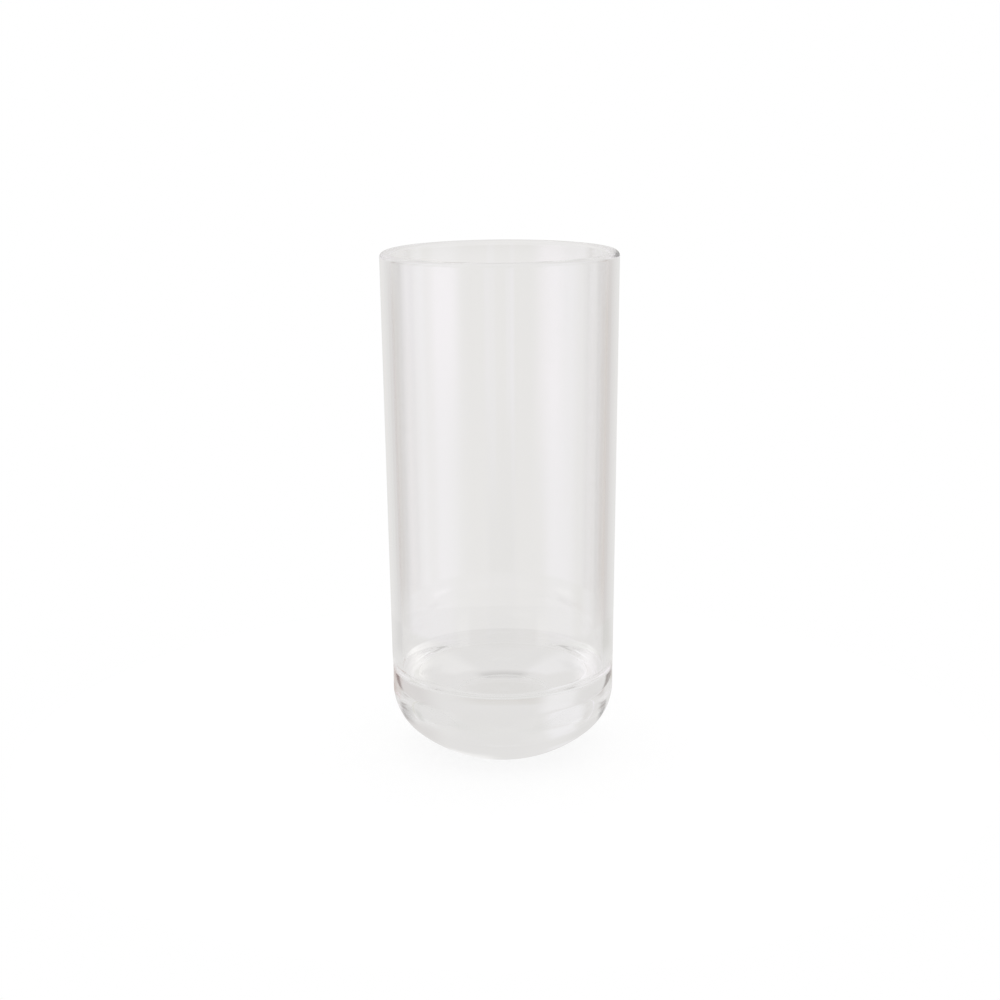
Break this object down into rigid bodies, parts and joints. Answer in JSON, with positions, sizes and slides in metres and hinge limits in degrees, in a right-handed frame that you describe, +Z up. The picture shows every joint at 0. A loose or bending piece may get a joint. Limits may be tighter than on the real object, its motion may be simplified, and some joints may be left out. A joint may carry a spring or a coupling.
{
  "type": "tall tumbler",
  "caption": "Tall one-piece clear tumbler with a thick gently tapered wall, rounded lip and deep solid base curving in to a small foot.",
  "frame": {"origin": "centre of the foot, on the table", "axes": "+Z up the tumbler's axis, out through the mouth; X and Y are alike"},
  "size_m": [0.08, 0.08, 0.173],
  "materials": {
    "clear_plastic": "clear, polished"
  },
  "bodies": {
    "root": {"tumbler": "clear_plastic"}
  },
  "joints": []
}
